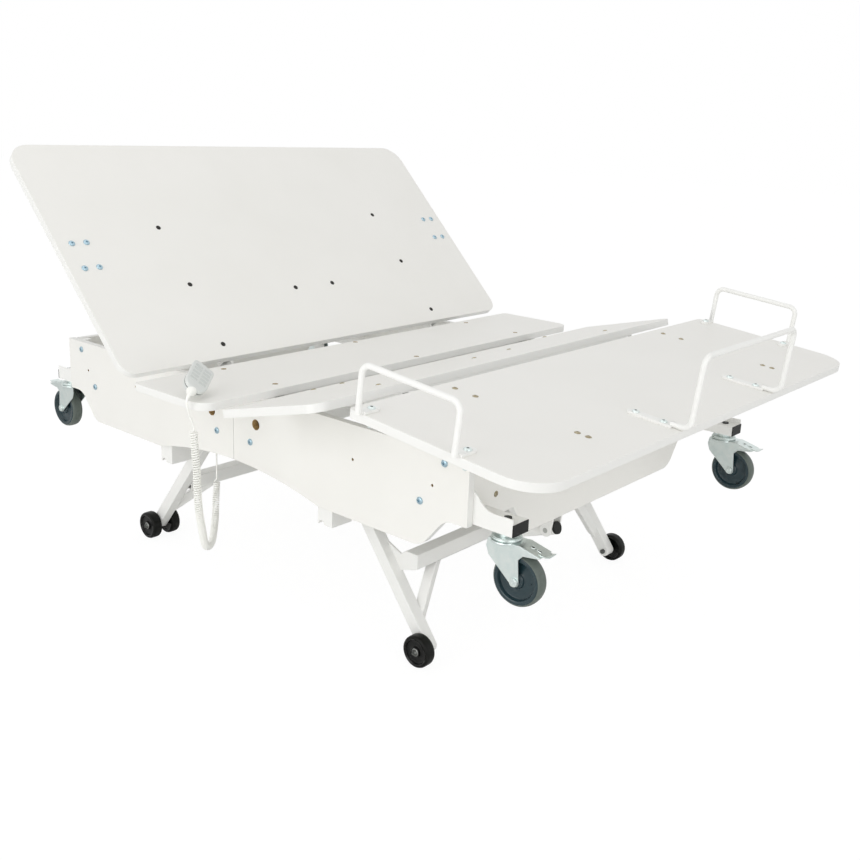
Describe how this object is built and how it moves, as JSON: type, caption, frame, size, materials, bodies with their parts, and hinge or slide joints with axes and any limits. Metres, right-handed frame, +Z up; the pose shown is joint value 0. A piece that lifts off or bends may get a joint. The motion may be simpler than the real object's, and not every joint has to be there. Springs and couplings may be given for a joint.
{
  "type": "bariatric bed",
  "caption": "Wide care bed with a jointed board deck, raising back, thigh and calf sections, swinging legs on floor rollers, braked casters, mattress retainers and a wired handset.",
  "frame": {"origin": "on the floor, under the middle of the bed between its mattress retainers", "axes": "+Z up, +Y towards the head end, +X towards the right-hand side seen from the foot end"},
  "size_m": [1.4267, 1.9152, 1.078],
  "materials": {
    "board_white": "white melamine face on chipboard, satin",
    "panel_white": "white melamine face on chipboard, satin",
    "powder_white": "white powder coat, semi-gloss",
    "zinc": "bright zinc plate with a cool tint",
    "steel": "bright turned steel",
    "screws": "zinc-plated and blackened screws",
    "black_plastic": "black moulded plastic",
    "box_grey": "dark grey moulded plastic, fine grain",
    "roller_rubber": "black rubber, matt",
    "caster_wheel": "blue-grey hub with a grey rubber tread",
    "actuator_grey": "light grey moulded housing",
    "handset": "light grey moulded plastic",
    "keypad": "soft grey keypad",
    "cord": "light grey cord sheath, satin"
  },
  "bodies": {
    "base": {"base_frame": "powder_white", "side_panel_head_left": "panel_white", "side_panel_head_right": "panel_white", "side_panel_foot_left": "panel_white", "side_panel_foot_right": "panel_white", "head_end_panel": "panel_white", "foot_end_panel": "panel_white", "panel_and_seat_screws": "screws", "tube_end_caps": "black_plastic", "seat_board": "board_white", "control_box": "box_grey", "hinge_pins": "steel", "back_actuator_tube": "actuator_grey", "thigh_actuator_tube": "actuator_grey", "head_leg_actuator_tube": "actuator_grey", "foot_leg_actuator_tube": "actuator_grey", "handset_shell": "handset", "handset_relief": "cord", "handset_lead": "cord", "curly_cord": "cord", "lower_lead": "cord"},
    "backrest": {"back_board": "board_white", "back_frame": "powder_white", "back_screws": "screws"},
    "thigh_section": {"thigh_board": "board_white", "thigh_frame": "powder_white", "thigh_screws": "screws"},
    "calf_section": {"calf_board": "board_white", "calf_frame": "powder_white", "calf_screws": "screws", "retainer_left": "powder_white", "retainer_right": "powder_white", "retainer_foot": "powder_white"},
    "head_legs": {"head_leg_frame": "powder_white", "head_roller_bolts": "zinc"},
    "foot_legs": {"foot_leg_frame": "powder_white", "foot_roller_bolts": "zinc"},
    "head_roller_left_outer_body": {"head_roller_left_outer": "roller_rubber"},
    "head_roller_left_inner_body": {"head_roller_left_inner": "roller_rubber"},
    "head_roller_right_outer_body": {"head_roller_right_outer": "roller_rubber"},
    "head_roller_right_inner_body": {"head_roller_right_inner": "roller_rubber"},
    "foot_roller_left_body": {"foot_roller_left": "roller_rubber"},
    "foot_roller_right_body": {"foot_roller_right": "roller_rubber"},
    "fork_head_left": {"caster_fork_head_left": "zinc"},
    "wheel_head_left": {"caster_wheel_head_left": "caster_wheel"},
    "pedal_head_left": {"brake_pedal_head_left": "zinc"},
    "fork_head_right": {"caster_fork_head_right": "zinc"},
    "wheel_head_right": {"caster_wheel_head_right": "caster_wheel"},
    "pedal_head_right": {"brake_pedal_head_right": "zinc"},
    "fork_foot_left": {"caster_fork_foot_left": "zinc"},
    "wheel_foot_left": {"caster_wheel_foot_left": "caster_wheel"},
    "pedal_foot_left": {"brake_pedal_foot_left": "zinc"},
    "fork_foot_right": {"caster_fork_foot_right": "zinc"},
    "wheel_foot_right": {"caster_wheel_foot_right": "caster_wheel"},
    "pedal_foot_right": {"brake_pedal_foot_right": "zinc"},
    "back_rod": {"back_actuator_rod": "steel"},
    "thigh_rod": {"thigh_actuator_rod": "steel"},
    "head_leg_rod": {"head_leg_actuator_rod": "steel"},
    "foot_leg_rod": {"foot_leg_actuator_rod": "steel"},
    "keypad": {"handset_keys": "keypad"}
  },
  "joints": [
    {"name": "back_tilt", "type": "hinge", "parent": "base", "child": "backrest", "pos_m": [0, 0.235, 0.538], "axis": [1, 0, 0], "range_deg": [-45.4, 20]},
    {"name": "thigh_tilt", "type": "hinge", "parent": "base", "child": "thigh_section", "pos_m": [0, -0.111, 0.538], "axis": [-1, 0, 0], "range_deg": [-14.35, 15.65]},
    {"name": "calf_tilt", "type": "hinge", "parent": "thigh_section", "child": "calf_section", "pos_m": [0, -0.46461, 0.62846], "axis": [1, 0, 0], "range_deg": [-20.5, 22.4]},
    {"name": "head_leg_swing", "type": "hinge", "parent": "base", "child": "head_legs", "pos_m": [0, 0.2465, 0.47], "axis": [1, 0, 0], "range_deg": [-5, 37]},
    {"name": "foot_leg_swing", "type": "hinge", "parent": "base", "child": "foot_legs", "pos_m": [0, -0.1085, 0.47], "axis": [-1, 0, 0], "range_deg": [-5, 37]},
    {"name": "head_roller_left_outer_spin", "type": "hinge", "parent": "head_legs", "child": "head_roller_left_outer_body", "pos_m": [0, 0.5775, 0.0375], "axis": [1, 0, 0], "continuous": true},
    {"name": "head_roller_left_inner_spin", "type": "hinge", "parent": "head_legs", "child": "head_roller_left_inner_body", "pos_m": [0, 0.5775, 0.0375], "axis": [1, 0, 0], "continuous": true},
    {"name": "head_roller_right_outer_spin", "type": "hinge", "parent": "head_legs", "child": "head_roller_right_outer_body", "pos_m": [0, 0.5775, 0.0375], "axis": [1, 0, 0], "continuous": true},
    {"name": "head_roller_right_inner_spin", "type": "hinge", "parent": "head_legs", "child": "head_roller_right_inner_body", "pos_m": [0, 0.5775, 0.0375], "axis": [1, 0, 0], "continuous": true},
    {"name": "foot_roller_left_spin", "type": "hinge", "parent": "foot_legs", "child": "foot_roller_left_body", "pos_m": [0, -0.4395, 0.0375], "axis": [1, 0, 0], "continuous": true},
    {"name": "foot_roller_right_spin", "type": "hinge", "parent": "foot_legs", "child": "foot_roller_right_body", "pos_m": [0, -0.4395, 0.0375], "axis": [1, 0, 0], "continuous": true},
    {"name": "swivel_head_left", "type": "hinge", "parent": "base", "child": "fork_head_left", "pos_m": [-0.474, 0.842, 0.409], "axis": [0, 0, 1], "continuous": true},
    {"name": "swivel_head_right", "type": "hinge", "parent": "base", "child": "fork_head_right", "pos_m": [0.474, 0.842, 0.409], "axis": [0, 0, 1], "continuous": true},
    {"name": "swivel_foot_left", "type": "hinge", "parent": "base", "child": "fork_foot_left", "pos_m": [-0.474, -0.704, 0.409], "axis": [0, 0, 1], "continuous": true},
    {"name": "swivel_foot_right", "type": "hinge", "parent": "base", "child": "fork_foot_right", "pos_m": [0.474, -0.704, 0.409], "axis": [0, 0, 1], "continuous": true},
    {"name": "wheel_spin_head_left", "type": "hinge", "parent": "fork_head_left", "child": "wheel_head_left", "pos_m": [-0.474, 0.877, 0.333], "axis": [-1, 0, 0], "continuous": true},
    {"name": "brake_press_head_left", "type": "hinge", "parent": "fork_head_left", "child": "pedal_head_left", "pos_m": [-0.474, 0.888, 0.403], "axis": [-1, 0, 0], "range_deg": [0, 10]},
    {"name": "wheel_spin_head_right", "type": "hinge", "parent": "fork_head_right", "child": "wheel_head_right", "pos_m": [0.474, 0.877, 0.333], "axis": [1, 0, 0], "continuous": true},
    {"name": "brake_press_head_right", "type": "hinge", "parent": "fork_head_right", "child": "pedal_head_right", "pos_m": [0.474, 0.888, 0.403], "axis": [-1, 0, 0], "range_deg": [0, 10]},
    {"name": "wheel_spin_foot_left", "type": "hinge", "parent": "fork_foot_left", "child": "wheel_foot_left", "pos_m": [-0.47156, -0.73891, 0.333], "axis": [-0.9976, -0.0698, 0], "continuous": true},
    {"name": "brake_press_foot_left", "type": "hinge", "parent": "fork_foot_left", "child": "pedal_foot_left", "pos_m": [-0.47079, -0.74989, 0.403], "axis": [0.9976, 0.0698, 0], "range_deg": [0, 10]},
    {"name": "wheel_spin_foot_right", "type": "hinge", "parent": "fork_foot_right", "child": "wheel_foot_right", "pos_m": [0.474, -0.739, 0.333], "axis": [1, 0, 0], "continuous": true},
    {"name": "brake_press_foot_right", "type": "hinge", "parent": "fork_foot_right", "child": "pedal_foot_right", "pos_m": [0.474, -0.75, 0.403], "axis": [1, 0, 0], "range_deg": [0, 10]},
    {"name": "back_rod_slide", "type": "slide", "parent": "base", "child": "back_rod", "axis": [0, 1, -0.0002], "range_m": [-0.09157, 0.04051]},
    {"name": "thigh_rod_slide", "type": "slide", "parent": "base", "child": "thigh_rod", "axis": [0, -1, -0.0096], "range_m": [-0.03008, 0.03278]},
    {"name": "head_leg_rod_slide", "type": "slide", "parent": "base", "child": "head_leg_rod", "axis": [0, 1, -0.0038], "range_m": [-0.00888, 0.06382]},
    {"name": "foot_leg_rod_slide", "type": "slide", "parent": "base", "child": "foot_leg_rod", "axis": [0, -1, -0.0038], "range_m": [-0.00888, 0.06382]},
    {"name": "key_press", "type": "slide", "parent": "base", "child": "keypad", "axis": [-0.271, 0.6248, -0.7323], "range_m": [0, 0.0008], "stiffness_N_per_m": 900, "springref_m": -0.0002}
  ],
  "couplings": [
    {"joint": "calf_tilt", "follows": "thigh_tilt", "ratio": 1.4265},
    {"joint": "back_rod_slide", "follows": "back_tilt", "m_per_rad": 0.11518},
    {"joint": "thigh_rod_slide", "follows": "thigh_tilt", "m_per_rad": 0.11891},
    {"joint": "head_leg_rod_slide", "follows": "head_leg_swing", "m_per_rad": 0.09836},
    {"joint": "foot_leg_rod_slide", "follows": "foot_leg_swing", "m_per_rad": 0.09836}
  ]
}
